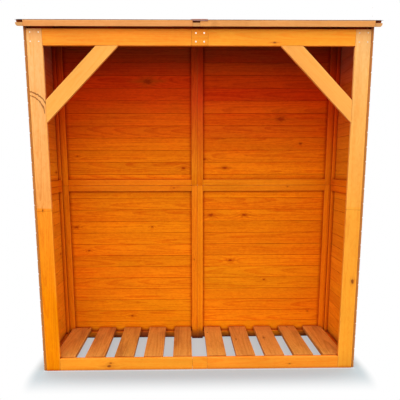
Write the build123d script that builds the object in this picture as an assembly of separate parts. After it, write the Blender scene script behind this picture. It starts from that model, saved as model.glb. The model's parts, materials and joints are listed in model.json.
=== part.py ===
from build123d import *
import math
import os

# Log store: an open-fronted timber bay, two wall panels wide and two high, with
# a slatted floor, corner braces and a pent roof in two halves that falls to the
# front. Millimetres, +Z up, front face towards -Y, origin on the ground under
# the middle of the roof.

os.makedirs("parts", exist_ok=True)

# ---------------------------------------------------------------- dimensions
WIDTH = 1850.0  # over the side cladding
DEPTH = 525.0  # front face to the outside of the back cladding
CLAD = 13.0  # thickness of the tongue and groove boards
COVER = 78.6  # height that one board covers
LOWEST_JOINT = 43.0  # between the first two boards
BOARDS = 26
NARROWEST = 10.0  # the least strip left of a cut board
VEE = 3.5  # depth and half width of the joint's vee outside
QUIRK = 1.2  # depth and half width of the joint line inside

PLANK_W = 84.0  # front frame planks
PLANK_T = 20.0
HEAD_TOP = 1912.0  # top of the posts and of the header
SILL_H = 75.0
ARRIS = 1.5  # eased edges of the frame planks and the slats

BATTEN_W = 38.0  # battens that frame the wall panels
BATTEN_T = 20.0
PANEL_FOOT = 2.0  # lower edge of the cladding
PANEL_SPLIT = 1071.0  # where the upper panels stand on the lower ones

FLOOR = 80.0  # top of the slats
SLAT_W = 114.0
SLAT_T = 28.0
SLAT_FIRST = 46.0  # half of the gap on the centre line
SLAT_PITCH = 175.0
SLATS_A_SIDE = 5
OUTER_SLAT_W = 124.0

BRACE_LEG = 397.0  # along the post and along the header, to the lower edge

ROOF_SLOPE = 16.4  # degrees
ROOF_RUN = 590.0  # level distance from front to rear edge
ROOF_HALF = 950.0  # half of the roof's width
ROOF_LOW = 1912.0  # underside at the front edge
ROOF_OVERHANG = 40.0  # in front of the frame
ROOF_BATTEN_T = 18.0
ROOF_BATTEN_ROUND = 13.0  # rounded lower edge of the outer battens
DECK_T = 12.0
FELT_T = 2.5
STRIP_HALF = 40.0  # half width of the strip over the joint
STRIP_LIP = 9.0  # how far the strip is turned down in front

# ------------------------------------------------------------- derived levels
SLOPE = math.radians(ROOF_SLOPE)
ROOF_STACK = ROOF_BATTEN_T + DECK_T + 2 * FELT_T
ROOF_LEAN = ROOF_STACK * math.sin(SLOPE)
LIP_OUT = FELT_T * math.cos(SLOPE)
ROOF_FRONT = (ROOF_LEAN + LIP_OUT - ROOF_RUN) / 2
ROOF_LENGTH = ROOF_RUN / math.cos(SLOPE)

FRONT = ROOF_FRONT + ROOF_OVERHANG
BEHIND_PLANKS = FRONT + PLANK_T
BACK = FRONT + DEPTH
BACK_BOARDS = BACK - CLAD
BACK_FRAME = BACK_BOARDS - BATTEN_T

HALF = WIDTH / 2
INNER = HALF - CLAD  # inside of the side boards
SIDE_FRAME = INNER - BATTEN_T
POST_IN = INNER - PLANK_W + 1.0
HEAD_LOW = HEAD_TOP - PLANK_W
FLOOR_LOW = FLOOR - SLAT_T
BEARER_Z = (FLOOR_LOW - BATTEN_W, FLOOR_LOW)
STILE_IN = SIDE_FRAME - BATTEN_W  # the back panels stand between the side frames

ROOF_PLANE = Plane(
    origin=(0, ROOF_FRONT, ROOF_LOW),
    x_dir=(1, 0, 0),
    z_dir=(0, -math.sin(SLOPE), math.cos(SLOPE)),
)


def underside(y):
    """Height of the roof's underside above a line at depth y."""
    return ROOF_LOW + (y - ROOF_FRONT) * math.tan(SLOPE)


BACK_TOP = underside(BACK_FRAME)


# -------------------------------------------------------------------- helpers
def block(x, y, z):
    """A square-edged length of timber from three (low, high) pairs."""
    spans = (x, y, z)
    size = [high - low for low, high in spans]
    middle = [(low + high) / 2 for low, high in spans]
    return Pos(*middle) * Box(*size)


def mirrored(solids):
    """The same pieces on the other side of the centre line."""
    return [mirror(solid, about=Plane.YZ) for solid in solids]


def save(name, *solids):
    """Write one node of the part."""
    shape = solids[0] if len(solids) == 1 else Compound(children=list(solids))
    export_step(shape, f"parts/{name}.step")


def under_roof(solid):
    """Cut a wall piece off along the roof's underside."""
    return split(solid, bisect_by=ROOF_PLANE, keep=Keep.BOTTOM)


def joints_between(low, high):
    """Levels of the board joints inside a panel."""
    levels = [LOWEST_JOINT + COVER * n for n in range(BOARDS)]
    return [level for level in levels if low + NARROWEST < level < high - NARROWEST]


def board_section(low, high, joints):
    """Section of a boarded wall: inside face at 0, vee joints on the outside."""
    points = [(0, low), (CLAD, low)]
    for level in joints:
        points += [(CLAD, level - VEE), (CLAD - VEE, level), (CLAD, level + VEE)]
    points += [(CLAD, high), (0, high)]
    for level in reversed(joints):
        points += [(0, level + QUIRK), (QUIRK, level), (0, level - QUIRK)]
    return make_face(Polyline(*points, close=True))


def back_boards(low, high):
    """Horizontal boards of the right-hand back panel."""
    plane = Plane(origin=(0, BACK_BOARDS, 0), x_dir=(0, 1, 0), z_dir=(1, 0, 0))
    section = board_section(low, high, joints_between(low, high))
    return extrude(plane * section, amount=INNER, dir=(1, 0, 0))


def side_boards(low, high):
    """Horizontal boards of the right-hand side panel."""
    plane = Plane(origin=(INNER, BACK, 0), x_dir=(1, 0, 0), z_dir=(0, -1, 0))
    section = board_section(low, high, joints_between(low, high))
    return extrude(plane * section, amount=DEPTH, dir=(0, -1, 0))


# ---------------------------------------------------------------- front frame
def front_plank(x, z, axis):
    """A plank of the front frame, its long front edges eased."""
    plank = block(x, (FRONT, BEHIND_PLANKS), z)
    front_edges = plank.edges().filter_by(axis).group_by(Axis.Y)[0]
    return chamfer(front_edges, ARRIS)


def front_post():
    return front_plank((POST_IN, INNER), (0, HEAD_TOP), Axis.Z)


def header_half():
    return front_plank((PLANK_W / 2 + 2, POST_IN), (HEAD_LOW, HEAD_TOP), Axis.X)


def sill_half():
    return front_plank((PLANK_W / 2 + 2, POST_IN), (0, SILL_H), Axis.X)


def brace():
    """Plank at 45 degrees, its ends cut to the post and to the header."""
    short_leg = BRACE_LEG - PLANK_W * math.sqrt(2)
    outline = Polyline(
        (POST_IN - BRACE_LEG, HEAD_LOW),
        (POST_IN - short_leg, HEAD_LOW),
        (POST_IN, HEAD_LOW - short_leg),
        (POST_IN, HEAD_LOW - BRACE_LEG),
        close=True,
    )
    plane = Plane(origin=(0, FRONT, 0), x_dir=(1, 0, 0), z_dir=(0, -1, 0))
    return extrude(plane * make_face(outline), amount=PLANK_T, dir=(0, 1, 0))


for piece, build in {
    "front_post": front_post,
    "header": header_half,
    "sill": sill_half,
    "brace": brace,
}.items():
    right = build()
    save(f"{piece}_right", right)
    save(f"{piece}_left", *mirrored([right]))

CENTRE = (-PLANK_W / 2 - 2, PLANK_W / 2 + 2)
save("header_centre", front_plank(CENTRE, (HEAD_LOW, HEAD_TOP), Axis.X))
save("sill_centre", front_plank(CENTRE, (0, SILL_H), Axis.X))
save(
    "header_rail",
    block(
        (-SIDE_FRAME, SIDE_FRAME),
        (BEHIND_PLANKS, BEHIND_PLANKS + PLANK_T),
        (HEAD_TOP - 70, HEAD_TOP),
    ),
)


# ----------------------------------------------------------------------- floor
def floor_slats():
    """Slats from the sill to the back boards; the outer one is notched round its stile."""
    slats = []
    for n in range(SLATS_A_SIDE):
        edge = SLAT_FIRST + SLAT_PITCH * n
        outer = n == SLATS_A_SIDE - 1
        across = (edge, edge + (OUTER_SLAT_W if outer else SLAT_W))
        slat = block(across, (BEHIND_PLANKS, BACK_BOARDS), (FLOOR_LOW, FLOOR))
        long_edges = slat.edges().filter_by(Axis.Y).group_by(Axis.Z)[-1]
        slat = chamfer(long_edges, ARRIS)
        if outer:
            slat -= block((STILE_IN, HALF), (BACK_FRAME, BACK), (0, HEAD_TOP))
        slats.append(slat)
    return slats


slats_right = floor_slats()
save("floor_slats_right", *slats_right)
save("floor_slats_left", *mirrored(slats_right))

save(
    "floor_bearer_front",
    block((-SIDE_FRAME, SIDE_FRAME), (BEHIND_PLANKS, BEHIND_PLANKS + BATTEN_T), BEARER_Z),
)
bearer = block((BATTEN_W, STILE_IN), (BACK_FRAME, BACK_BOARDS), BEARER_Z)
save("floor_bearer_rear", bearer, *mirrored([bearer]))

# ------------------------------------------------------------------- back wall
BACK_FRAME_Y = (BACK_FRAME, BACK_BOARDS)
BACK_PANELS = {
    "lower": (PANEL_FOOT, PANEL_SPLIT),
    "upper": (PANEL_SPLIT, BACK_TOP),
}
STILE_FOOT = {"lower": 0.0, "upper": PANEL_SPLIT}

for level, (low, high) in BACK_PANELS.items():
    boards = back_boards(low, high)
    save(f"back_boards_{level}_right", boards)
    save(f"back_boards_{level}_left", *mirrored([boards]))

    stiles = [
        block((0, BATTEN_W), BACK_FRAME_Y, (STILE_FOOT[level], high)),
        block((STILE_IN, SIDE_FRAME), BACK_FRAME_Y, (STILE_FOOT[level], high)),
    ]
    save(f"back_stiles_{level}_right", *stiles)
    save(f"back_stiles_{level}_left", *mirrored(stiles))

    between = (BATTEN_W, STILE_IN)
    rails = [block(between, BACK_FRAME_Y, (high - BATTEN_W, high))]
    if level == "upper":
        rails.append(block(between, BACK_FRAME_Y, (low, low + BATTEN_W)))
    save(f"back_rails_{level}", *rails, *mirrored(rails))

# ------------------------------------------------------------------ side walls
SIDE_FRAME_X = (SIDE_FRAME, INNER)
STILE_FRONT_Y = (BEHIND_PLANKS, BEHIND_PLANKS + BATTEN_W)
STILE_REAR_Y = (BACK_BOARDS - BATTEN_W, BACK_BOARDS)
SIDE_RAIL_Y = (STILE_FRONT_Y[1], STILE_REAR_Y[0])
ABOVE_ROOF = underside(BACK) + 50

lower_boards = side_boards(PANEL_FOOT, PANEL_SPLIT)
upper_boards = under_roof(side_boards(PANEL_SPLIT, ABOVE_ROOF))
for level, boards in (("lower", lower_boards), ("upper", upper_boards)):
    save(f"side_boards_{level}_right", boards)
    save(f"side_boards_{level}_left", *mirrored([boards]))

lower_stiles = [block(SIDE_FRAME_X, y, (0, PANEL_SPLIT)) for y in (STILE_FRONT_Y, STILE_REAR_Y)]
upper_stiles = [
    under_roof(block(SIDE_FRAME_X, y, (PANEL_SPLIT, ABOVE_ROOF)))
    for y in (STILE_FRONT_Y, STILE_REAR_Y)
]
save("side_stiles_lower", *lower_stiles, *mirrored(lower_stiles))
save("side_stiles_upper", *upper_stiles, *mirrored(upper_stiles))


def sloping_rail():
    """Top rail of a side panel, parallel to the roof and tight under it."""
    low, high = SIDE_RAIL_Y
    outline = Polyline(
        (low, underside(low) - BATTEN_W),
        (high, underside(high) - BATTEN_W),
        (high, underside(high)),
        (low, underside(low)),
        close=True,
    )
    plane = Plane(origin=(SIDE_FRAME, 0, 0), x_dir=(0, 1, 0), z_dir=(1, 0, 0))
    return extrude(plane * make_face(outline), amount=BATTEN_T, dir=(1, 0, 0))


lower_rails = [
    block(SIDE_FRAME_X, SIDE_RAIL_Y, BEARER_Z),
    block(SIDE_FRAME_X, SIDE_RAIL_Y, (PANEL_SPLIT - BATTEN_W, PANEL_SPLIT)),
]
upper_rails = [
    block(SIDE_FRAME_X, SIDE_RAIL_Y, (PANEL_SPLIT, PANEL_SPLIT + BATTEN_W)),
    sloping_rail(),
]
save("side_rails_lower", *lower_rails, *mirrored(lower_rails))
save("side_rails_upper", *upper_rails, *mirrored(upper_rails))


# ------------------------------------------------------------------------ roof
def on_roof(x, along, up):
    """A piece laid on the roof's slope: across, up the slope, and off its underside."""
    return ROOF_PLANE * block(x, along, up)


DECK_Z = (ROOF_BATTEN_T, ROOF_BATTEN_T + DECK_T)
FELT_Z = (DECK_Z[1], DECK_Z[1] + FELT_T)
STRIP_Z = (FELT_Z[1], FELT_Z[1] + FELT_T)
REAR_BATTEN_AT = (BACK_FRAME - ROOF_FRONT) / math.cos(SLOPE) - 2
WHOLE_SLOPE = (0, ROOF_LENGTH)

def outer_batten():
    """Batten along the roof's end, its lower outer edge rounded."""
    batten = block((ROOF_HALF - BATTEN_W, ROOF_HALF), WHOLE_SLOPE, (0, ROOF_BATTEN_T))
    lower_edges = batten.edges().filter_by(Axis.Y).group_by(Axis.Z)[0]
    return ROOF_PLANE * fillet(lower_edges.sort_by(Axis.X)[-1], ROOF_BATTEN_ROUND)


def joint_batten(front_end):
    """Batten of one half along the joint in the middle of the roof."""
    return on_roof((0, BATTEN_W), (front_end, ROOF_LENGTH), (0, ROOF_BATTEN_T))


def fascia(inner_end):
    return on_roof((inner_end, ROOF_HALF - BATTEN_W), (0, PLANK_T), (0, DECK_Z[1]))


rear_batten = on_roof(
    (BATTEN_W, ROOF_HALF - BATTEN_W),
    (REAR_BATTEN_AT, REAR_BATTEN_AT + BATTEN_W),
    (0, ROOF_BATTEN_T),
)

# The right-hand fascia runs on to the joint; the left-hand one stops at its batten.
save("roof_battens_right", joint_batten(PLANK_T), outer_batten())
save("roof_battens_left", *mirrored([joint_batten(0), outer_batten()]))
save("roof_fascia_right", fascia(0))
save("roof_fascia_left", *mirrored([fascia(BATTEN_W)]))


def roof_deck():
    """Boards across the slope, with their vee joints on the underside."""
    points = [(PLANK_T, DECK_Z[0])]
    for n in range(1, int((ROOF_LENGTH - PLANK_T) / COVER) + 1):
        at = PLANK_T + COVER * n
        if at < ROOF_LENGTH - 10:
            points += [(at - VEE, DECK_Z[0]), (at, DECK_Z[0] + VEE), (at + VEE, DECK_Z[0])]
    points += [(ROOF_LENGTH, DECK_Z[0]), (ROOF_LENGTH, DECK_Z[1]), (PLANK_T, DECK_Z[1])]
    section = Plane.YZ * make_face(Polyline(*points, close=True))
    return ROOF_PLANE * extrude(section, amount=ROOF_HALF, dir=(1, 0, 0))


for piece, solid in {
    "roof_rear_batten": rear_batten,
    "roof_deck": roof_deck(),
    "roof_felt": on_roof((0, ROOF_HALF), WHOLE_SLOPE, FELT_Z),
}.items():
    save(f"{piece}_right", solid)
    save(f"{piece}_left", *mirrored([solid]))

STRIP_X = (-STRIP_HALF, STRIP_HALF)
lip = on_roof(STRIP_X, (-FELT_T, 0), (STRIP_Z[1] - STRIP_LIP, STRIP_Z[1]))
save("roof_joint_strip", on_roof(STRIP_X, WHOLE_SLOPE, STRIP_Z) + lip)
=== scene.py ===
"""Looks of the log store: stained pine, roofing felt, screws and nails, built around the frame."""

import json
import math
import random

import bmesh
import bpy
from mathutils import Matrix, Vector

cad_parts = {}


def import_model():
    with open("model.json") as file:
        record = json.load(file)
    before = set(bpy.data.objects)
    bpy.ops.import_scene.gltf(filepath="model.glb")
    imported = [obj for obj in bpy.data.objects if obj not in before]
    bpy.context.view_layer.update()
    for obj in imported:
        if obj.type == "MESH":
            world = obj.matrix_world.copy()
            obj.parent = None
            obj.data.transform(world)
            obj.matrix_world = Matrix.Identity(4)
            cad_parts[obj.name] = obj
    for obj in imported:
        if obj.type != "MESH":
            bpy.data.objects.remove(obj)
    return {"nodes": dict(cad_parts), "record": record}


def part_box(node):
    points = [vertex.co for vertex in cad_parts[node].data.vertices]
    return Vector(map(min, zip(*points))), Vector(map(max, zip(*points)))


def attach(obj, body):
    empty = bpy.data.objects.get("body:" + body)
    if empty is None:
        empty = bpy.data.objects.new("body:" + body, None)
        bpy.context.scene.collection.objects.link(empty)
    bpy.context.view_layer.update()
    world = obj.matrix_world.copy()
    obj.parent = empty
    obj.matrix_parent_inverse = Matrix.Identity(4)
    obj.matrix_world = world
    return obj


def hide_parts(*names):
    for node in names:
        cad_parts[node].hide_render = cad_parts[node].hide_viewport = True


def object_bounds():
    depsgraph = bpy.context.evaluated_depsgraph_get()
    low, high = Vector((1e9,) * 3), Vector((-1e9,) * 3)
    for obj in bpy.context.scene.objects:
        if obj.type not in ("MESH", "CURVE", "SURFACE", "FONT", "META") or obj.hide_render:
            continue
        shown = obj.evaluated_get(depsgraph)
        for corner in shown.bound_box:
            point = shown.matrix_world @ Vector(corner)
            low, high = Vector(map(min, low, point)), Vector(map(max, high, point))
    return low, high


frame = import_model()
cad_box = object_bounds()

MM = 0.001
SLOT_OF = {part["node"]: part["material_slot"] for part in frame["record"]["subparts"]}
BODY = "root"
SIDES = ("left", "right")
LEVELS = ("lower", "upper")  # of the wall panels
dice = random.Random(41)

# ---------- timber sizes, in metres
WALL_COVER = 78.6 * MM  # height that one wall or deck board covers
LOWEST_JOINT = 43.0 * MM  # between the first two boards of a wall
BOARD_SLIP = 0.25 * MM  # how far a board may stand back from its neighbours
BOARD_GAP = 0.35 * MM  # half of the open joint between two boards
VEE = 3.3 * MM  # depth and half width of the joint's vee outside
QUIRK = 1.5 * MM  # and of the joint line inside
TONGUE = 5.0 * MM
TONGUE_PLAY = 0.2 * MM  # above and below the tongue
ARRIS = 2.6 * MM  # radius on the long edges of a plank
SEAM = 0.45 * MM  # each plank stops this short of its neighbour
STILE_GAP = 0.12 * MM  # the same between stiles side by side, too fine to see through
RAIL_GAP = 0.35 * MM  # and between rails
NARROWEST = 10.0 * MM  # the least strip left of a cut board
STEP = 0.01 * MM  # between the two sections at a notch
MERGE = 0.001 * MM  # points nearer than this are one
STATION = 110.0 * MM  # spacing of the sections along a plank
BOW = 0.5 * MM  # how far a plank's centre line wanders
SIDE_BOW = 0.3 * MM
BOARD_BOW = 0.25 * MM
PANEL_BOW = 0.1 * MM  # of the battens that stand side by side
BEVEL = 0.9 * MM  # on the ends of a plank
SLAT_BEVEL = 3.0 * MM
SLAT_EDGE = 2.2 * MM  # radii on the long edges of slats and battens
STILE_EDGE = 2.2 * MM
RAIL_EDGE = 2.4 * MM
SIDE_EDGE = 1.8 * MM
ROOF_EDGE = 1.8 * MM
ROOF_BATTEN_EDGE = 2.0 * MM
ROOF_BATTEN_ROUND = 12.5 * MM  # on the lower outer edge of the outermost
FELT_GRID = 20.0 * MM


# ---------- reading the frame
class Axes:
    """Axes of a timber: along its length, across its width, and through its thickness."""

    def __init__(self, along, across):
        self.along = Vector(along).normalized()
        self.across = Vector(across).normalized()
        self.out = self.along.cross(self.across).normalized()

    def local(self, point):
        return Vector((point.dot(self.along), point.dot(self.across), point.dot(self.out)))

    def place(self, u, v, w):
        return self.along * u + self.across * v + self.out * w


def solids(node):
    """Vertices of each solid of a CAD node, from left to right, front to back and low to high."""
    mesh = frame["nodes"][node].data
    key_of = [tuple(round(c, 5) for c in v.co) for v in mesh.vertices]
    parent = {key: key for key in key_of}

    def root(key):
        while parent[key] != key:
            parent[key] = parent[parent[key]]
            key = parent[key]
        return key

    for polygon in mesh.polygons:
        first, *others = [root(key_of[i]) for i in polygon.vertices]
        for other in others:
            parent[root(other)] = root(first)
    groups = {}
    for key in parent:
        groups.setdefault(root(key), []).append(Vector(key))

    def middle(points):
        return tuple(round(sum(p[i] for p in points) / len(points), 3) for i in range(3))

    return sorted(groups.values(), key=middle)


def extent(points, axes):
    """Lowest and highest local coordinates of some points."""
    local = [axes.local(p) for p in points]
    low = Vector([min(p[i] for p in local) for i in range(3)])
    high = Vector([max(p[i] for p in local) for i in range(3)])
    return low, high


def roof_slope():
    """Angle of the roof, from the largest upward face of the felt."""
    mesh = frame["nodes"]["roof_felt_right"].data
    top = max((p for p in mesh.polygons if p.normal.z > 0.5), key=lambda p: p.area)
    return math.atan2(-top.normal.y, top.normal.z)


SLOPE = roof_slope()
UP_SLOPE = Vector((0, math.cos(SLOPE), math.sin(SLOPE)))
OFF_ROOF = Vector((0, -math.sin(SLOPE), math.cos(SLOPE)))
X, Y, Z = Vector((1, 0, 0)), Vector((0, 1, 0)), Vector((0, 0, 1))


# ---------- meshes of timber
NO_KNOT = (0.0, 5.0, 0.4 * MM)  # so far aside that it doesn't show


class Timbers:
    """The piece made of planks or boards for a node, with the attributes that the wood material reads.

    grain  along, across and through each plank, shifted so that no two planks match
    rings  the same, measured from the pith of the log
    board  tone, warmth and gloss of each plank
    knot_a, knot_b, knot_c  along, across and radius of the plank's knots
    arris  1 on rounded edges
    end    1 on end grain
    """

    VECTORS = ("grain", "rings", "board", "knot_a", "knot_b", "knot_c")

    def __init__(self, node, kind="timber"):
        self.node = node
        self.name = f"{node}_{kind}"
        self.points = []
        self.faces = []
        self.ends = []
        self.arris = []
        self.vectors = {key: [] for key in self.VECTORS}

    def add(self, axes, low, high, section, shear=((0, 0), (0, 0)), knots=(), knot_rate=0.5, tone=None,
            bow=BOW, notch=None, bevel=BEVEL):
        """A plank along axes from low to high. section is a closed list of (across, out, arris) in place.

        shear is how far each end leans for each metre across and out. notch is (start along, lowest across,
        highest across) of a narrower end.
        """
        length = high[0] - low[0]
        count = max(2, round(length / STATION))
        spots = [0.0, bevel] + [length * n / count for n in range(1, count)] + [length - bevel, length]
        if notch:
            spots = sorted(spots + [notch[0] - low[0], notch[0] - low[0] + STEP])
        middle_v = (min(p[0] for p in section) + max(p[0] for p in section)) / 2
        middle_w = (min(p[1] for p in section) + max(p[1] for p in section)) / 2
        shift = dice.uniform(0, 60)
        pith = (dice.uniform(-0.03, 0.03), dice.choice((-1, 1)) * dice.uniform(0.02, 0.075))
        lean = (dice.uniform(-0.015, 0.015), dice.uniform(-0.03, 0.03))
        bows = [(dice.uniform(-bow, bow), dice.uniform(0.6, 1.6), dice.uniform(0, math.tau))
                for _ in ("across", "out")]
        board = (dice.random() if tone is None else tone, dice.random(), dice.random())
        spread = [self.knot(length, section, knots, n, knot_rate) for n in range(3)]
        base = len(self.points)
        rim = len(section)
        for at in spots:
            inset = bevel if at in (0.0, length) else 0.0
            swing = [a * math.sin(math.tau * f * at / max(length, 0.3) + p) for a, f, p in bows]
            for v, w, edge_wear_and_highlight in section:
                dv, dw = v - middle_v, w - middle_w
                reach = math.hypot(dv, dw)
                pull = 1 - inset / reach if reach > inset else 1
                v_in, w_in = middle_v + dv * pull, middle_w + dw * pull
                share = at / length
                starts = dv * shear[0][0] + dw * shear[0][1]
                stops = dv * shear[1][0] + dw * shear[1][1]
                u = low[0] + at + starts * (1 - share) + stops * share
                ease = min(1, at / 0.05, (length - at) / 0.05)
                v_out = v_in + swing[0] * ease * 0.5
                if notch and low[0] + at > notch[0] + 1e-6:
                    v_out = min(max(v_out, notch[1]), notch[2])
                self.points.append(axes.place(u, v_out, w_in + swing[1] * ease))
                self.arris.append(max(edge_wear_and_highlight, 1.0 if inset else 0.0))
                self.vectors["grain"].append((at + shift, dv, dw))
                from_pith = dv - pith[0] - lean[0] * at, dw - pith[1] - lean[1] * at
                self.vectors["rings"].append((at + shift, *from_pith))
                self.vectors["board"].append(board)
                for key, (ku, kv, kr) in zip(("knot_a", "knot_b", "knot_c"), spread):
                    self.vectors[key].append((ku + shift, kv, kr))
        first = len(self.faces)
        for ring in range(len(spots) - 1):
            a, b = base + ring * rim, base + (ring + 1) * rim
            for i in range(rim):
                j = (i + 1) % rim
                self.faces.append((a + i, a + j, b + j, b + i))
        self.ends += [0.0] * (len(self.faces) - first)
        last = base + (len(spots) - 1) * rim
        self.faces.append(tuple(range(base + rim - 1, base - 1, -1)))
        self.faces.append(tuple(range(last, last + rim)))
        self.ends += [1.0, 1.0]

    def knot(self, length, section, chosen, index, rate):
        """The index-th knot of a plank: one placed by chance, or a chosen one.

        A chosen one is (share of the length, share of the width from the middle, radius).
        """
        width = max(p[0] for p in section) - min(p[0] for p in section)
        if index < len(chosen):
            share, aside, radius = chosen[index]
            return (share * length, aside * width, radius)
        at, across, size, luck = (dice.random() for _ in range(4))
        if luck > rate * length / 3:
            return NO_KNOT
        return (at * length, (across - 0.5) * width * 0.8, (2.5 + 4.0 * size * size) * MM)

    def finish(self, material=None, trims=()):
        """Make the Blender object, trimmed by planes given as (point, normal to cut away)."""
        slot = SLOT_OF[self.node]
        mesh = bpy.data.meshes.new(self.name)
        mesh.from_pydata(self.points, [], self.faces)
        for key, values in self.vectors.items():
            layer = mesh.attributes.new(key, "FLOAT_VECTOR", "POINT")
            layer.data.foreach_set("vector", [c for value in values for c in value])
        mesh.attributes.new("arris", "FLOAT", "POINT").data.foreach_set("value", self.arris)
        mesh.attributes.new("end", "FLOAT", "FACE").data.foreach_set("value", self.ends)
        if trims:
            trim(mesh, trims)
        recalculate(mesh)
        smooth_by_angle(mesh)
        finish_piece(self.name, mesh, material or MATERIALS[slot], [self.node])


def trim(mesh, planes):
    """Cut a mesh by planes and close the cuts with end grain."""
    work = bmesh.new()
    work.from_mesh(mesh)
    end = work.faces.layers.float["end"]
    for point, normal in planes:
        geometry = work.verts[:] + work.edges[:] + work.faces[:]
        cut = bmesh.ops.bisect_plane(work, geom=geometry, plane_co=point, plane_no=normal,
                                     clear_outer=True, dist=MERGE)
        edges = [e for e in cut["geom_cut"] if isinstance(e, bmesh.types.BMEdge)]
        filled = bmesh.ops.holes_fill(work, edges=edges, sides=0)
        for face in filled["faces"]:
            face[end] = 1.0
    work.to_mesh(mesh)
    work.free()


def recalculate(mesh):
    """Join doubled points and turn every face outwards."""
    work = bmesh.new()
    work.from_mesh(mesh)
    bmesh.ops.remove_doubles(work, verts=work.verts, dist=MERGE)
    bmesh.ops.recalc_face_normals(work, faces=work.faces)
    work.to_mesh(mesh)
    work.free()


def smooth_by_angle(mesh, limit=math.radians(40)):
    """Smooth shading with sharp edges where faces turn more than the limit."""
    mesh.shade_smooth()
    mesh.set_sharp_from_angle(angle=limit)


def finish_piece(name, mesh, material, replaces=()):
    for vertex in mesh.vertices:  # nothing bows out of the box or into the ground
        vertex.co = [min(max(c, low), high) for c, low, high in zip(vertex.co, *cad_box)]
    piece = bpy.data.objects.new(name, mesh)
    bpy.context.scene.collection.objects.link(piece)
    mesh.materials.append(material)
    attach(piece, BODY)
    if replaces:
        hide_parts(*replaces)


def rounded(low, high, radius=ARRIS, steps=4, large_corner=None):
    """Section of a plank: a rectangle in (across, out) with rounded corners.

    The corners are counted from low across and low out. large_corner gets ROOF_BATTEN_ROUND.
    """
    corners = [(low[1], low[2], math.pi), (high[1], low[2], 1.5 * math.pi),
               (high[1], high[2], 0.0), (low[1], high[2], 0.5 * math.pi)]
    points = []
    for number, (v, w, start) in enumerate(corners):
        large = number == large_corner
        turn = ROOF_BATTEN_ROUND if large else radius
        flat = turn + (min(radius, 0.8 * MM) if large else radius * 1.5)
        inward_v = 1 if v == low[1] else -1
        inward_w = 1 if w == low[2] else -1
        centre = (v + inward_v * turn, w + inward_w * turn)
        flats = [(v, w + inward_w * flat, 0.0), (v + inward_v * flat, w, 0.0)]
        if number % 2:
            flats.reverse()
        points.append(flats[0])
        for n in range(steps + 1):
            angle = start + 0.5 * math.pi * n / steps
            points.append((centre[0] + turn * math.cos(angle), centre[1] + turn * math.sin(angle), 1.0))
        points.append(flats[1])
    return points


def tongued(low, high, thick, tongue=True, groove=True):
    """Section of a tongue and groove board in (across, out): inside face at 0, vee joint on the outside."""
    a, b = low + BOARD_GAP, high - BOARD_GAP
    t_low, t_high = thick * 0.36, thick * 0.66
    points = [(a + QUIRK, 0, 1), (a, QUIRK, 1)]
    if groove:
        deep = a + TONGUE * 1.15
        points += [(a, t_low, 0), (deep, t_low, 0), (deep, t_high, 0), (a, t_high, 0)]
    points += [(a, thick - VEE, 1), (a + VEE, thick, 1), (a + VEE * 2, thick, 0), ((a + b) / 2, thick, 0),
               (b - VEE * 2, thick, 0), (b - VEE, thick, 1), (b, thick - VEE, 1)]
    if tongue:
        top, under = t_high - TONGUE_PLAY, t_low + TONGUE_PLAY
        points += [(b, top, 0), (b + TONGUE, top, 0), (b + TONGUE, under, 0), (b, under, 0)]
    points += [(b, QUIRK, 1), (b - QUIRK, 0, 1), (b - QUIRK * 3, 0, 0), ((a + b) / 2, 0, 0),
               (a + QUIRK * 3, 0, 0)]
    return points


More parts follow.
